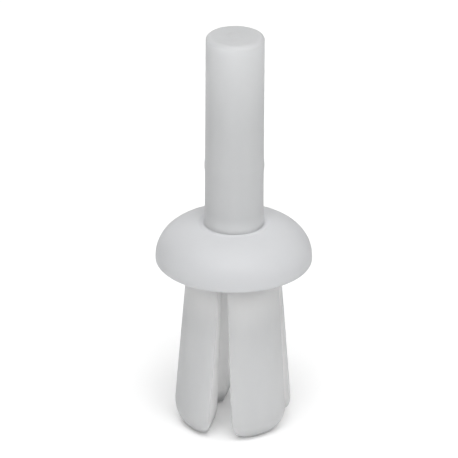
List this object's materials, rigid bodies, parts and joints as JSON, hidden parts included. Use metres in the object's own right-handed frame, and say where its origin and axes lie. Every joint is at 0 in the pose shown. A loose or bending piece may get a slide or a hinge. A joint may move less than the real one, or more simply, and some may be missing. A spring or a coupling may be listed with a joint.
{
  "type": "drive-in wall anchor",
  "caption": "Mushroom-headed nylon expansion anchor whose drive pin is hammered down through the head to spread the slotted legs.",
  "frame": {"origin": "under the centre of the four toes, on the plane they stand on", "axes": "+Z along the anchor, from the toes through the head to the struck end of the pin; the slots between the legs lie along X and Y; -Y is the front"},
  "size_m": [0.011, 0.011, 0.0297],
  "materials": {
    "head": "natural unfilled nylon, milky white, fine matt mould finish",
    "pin": "natural unfilled nylon, milky white, drawn smooth along the mould",
    "legs": "natural unfilled nylon, milky white, fine matt mould finish"
  },
  "bodies": {
    "sleeve": {"head": "head", "shear_web": "head"},
    "pin": {"drive_pin": "pin"},
    "root_front_right": {"flexure_front_right": "legs"},
    "toe_front_right": {"leg_front_right": "legs"},
    "root_back_right": {"flexure_back_right": "legs"},
    "toe_back_right": {"leg_back_right": "legs"},
    "root_back_left": {"flexure_back_left": "legs"},
    "toe_back_left": {"leg_back_left": "legs"},
    "root_front_left": {"flexure_front_left": "legs"},
    "toe_front_left": {"leg_front_left": "legs"}
  },
  "joints": [
    {"name": "pin_drive", "type": "slide", "parent": "sleeve", "child": "pin", "axis": [0, 0, -1], "range_m": [0, 0.01415]},
    {"name": "front_right_squeeze", "type": "hinge", "parent": "sleeve", "child": "root_front_right", "pos_m": [0.00191, -0.00191, 0.01165], "axis": [-0.7071, -0.7071, 0], "range_deg": [-5, 0], "stiffness_Nm_per_rad": 0.3},
    {"name": "front_right_spread", "type": "hinge", "parent": "root_front_right", "child": "toe_front_right", "pos_m": [0.00191, -0.00191, 0.0102], "axis": [-0.7071, -0.7071, 0], "range_deg": [0, 4.81]},
    {"name": "back_right_squeeze", "type": "hinge", "parent": "sleeve", "child": "root_back_right", "pos_m": [0.00191, 0.00191, 0.01165], "axis": [0.7071, -0.7071, 0], "range_deg": [-5, 0], "stiffness_Nm_per_rad": 0.3},
    {"name": "back_right_spread", "type": "hinge", "parent": "root_back_right", "child": "toe_back_right", "pos_m": [0.00191, 0.00191, 0.0102], "axis": [0.7071, -0.7071, 0], "range_deg": [0, 4.81]},
    {"name": "back_left_squeeze", "type": "hinge", "parent": "sleeve", "child": "root_back_left", "pos_m": [-0.00191, 0.00191, 0.01165], "axis": [0.7071, 0.7071, 0], "range_deg": [-5, 0], "stiffness_Nm_per_rad": 0.3},
    {"name": "back_left_spread", "type": "hinge", "parent": "root_back_left", "child": "toe_back_left", "pos_m": [-0.00191, 0.00191, 0.0102], "axis": [0.7071, 0.7071, 0], "range_deg": [0, 4.81]},
    {"name": "front_left_squeeze", "type": "hinge", "parent": "sleeve", "child": "root_front_left", "pos_m": [-0.00191, -0.00191, 0.01165], "axis": [-0.7071, 0.7071, 0], "range_deg": [-5, 0], "stiffness_Nm_per_rad": 0.3},
    {"name": "front_left_spread", "type": "hinge", "parent": "root_front_left", "child": "toe_front_left", "pos_m": [-0.00191, -0.00191, 0.0102], "axis": [-0.7071, 0.7071, 0], "range_deg": [0, 4.81]}
  ],
  "couplings": [
    {"joint": "front_right_spread", "follows": "pin_drive", "rad_per_m": 5.9206},
    {"joint": "back_right_spread", "follows": "pin_drive", "rad_per_m": 5.9206},
    {"joint": "back_left_spread", "follows": "pin_drive", "rad_per_m": 5.9206},
    {"joint": "front_left_spread", "follows": "pin_drive", "rad_per_m": 5.9206}
  ]
}
